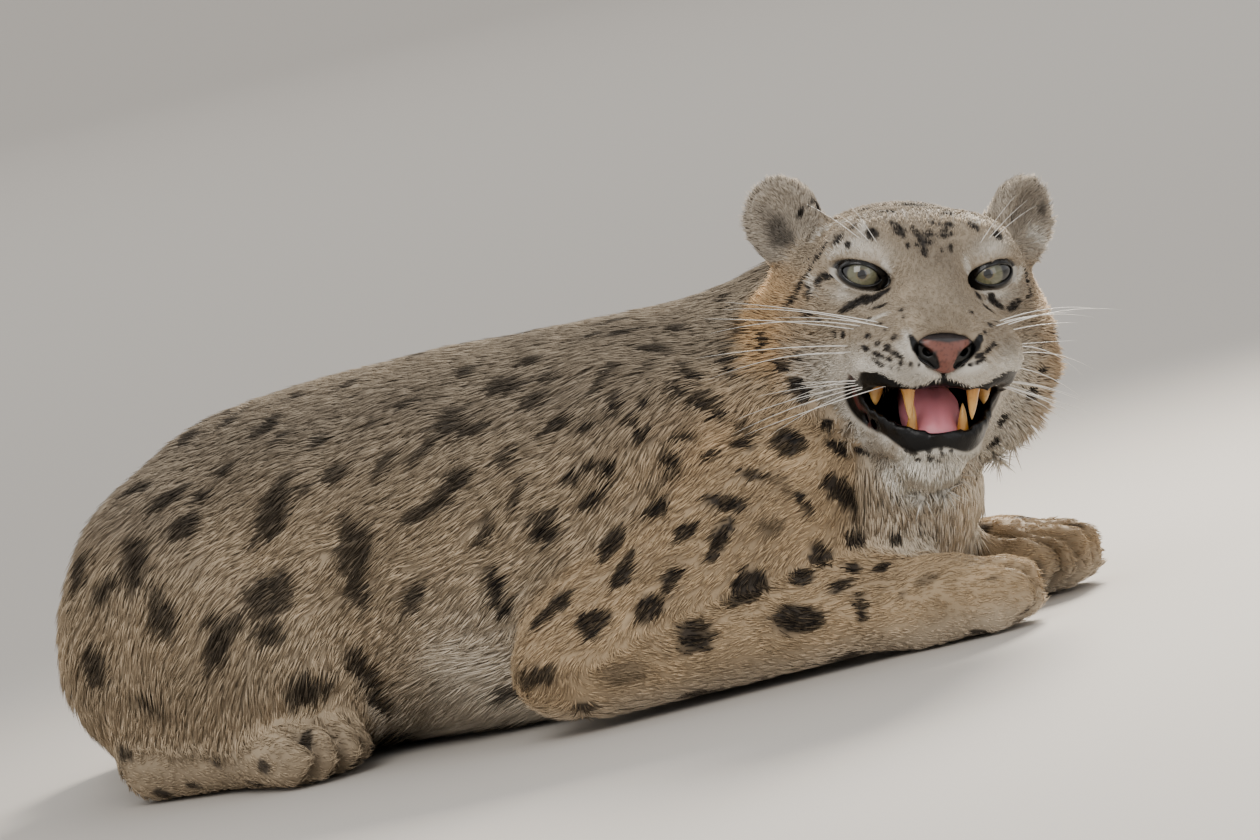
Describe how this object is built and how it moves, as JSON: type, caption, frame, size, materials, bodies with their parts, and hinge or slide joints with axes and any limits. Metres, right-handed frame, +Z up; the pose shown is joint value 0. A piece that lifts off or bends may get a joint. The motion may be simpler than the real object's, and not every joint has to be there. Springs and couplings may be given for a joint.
{
  "type": "snow leopard",
  "caption": "Life-size snow leopard lying on its chest with the head turned to its right, mouth open and tail curled behind it",
  "frame": {"origin": "on the floor under the withers, at the chest_rest mount", "axes": "+X the way the chest faces, +Y the animal's left, +Z up"},
  "size_m": [0.742, 0.7389, 0.3197],
  "materials": {
    "coat": "dense fur",
    "eye": "wet gloss",
    "nose": "damp satin",
    "tongue": "wet satin",
    "tooth": "enamel gloss"
  },
  "bodies": {
    "root": {"torso": "coat", "neck": "coat", "head": "coat", "ear_right": "coat", "ear_left": "coat", "upper_arm_right": "coat", "forearm_right": "coat", "forepaw_right": "coat", "upper_arm_left": "coat", "forearm_left": "coat", "forepaw_left": "coat", "hindleg_right": "coat", "hindfoot_right": "coat", "hindleg_left": "coat", "hindfoot_left": "coat", "tail_root": "coat", "tail_middle": "coat", "tail_tip": "coat", "eye_right": "eye", "eye_left": "eye", "nose": "nose", "tongue": "tongue", "canine_upper_right": "tooth", "canine_upper_left": "tooth", "canine_lower_right": "tooth", "canine_lower_left": "tooth", "premolar_upper_right": "tooth", "premolar_upper_left": "tooth"}
  },
  "joints": []
}
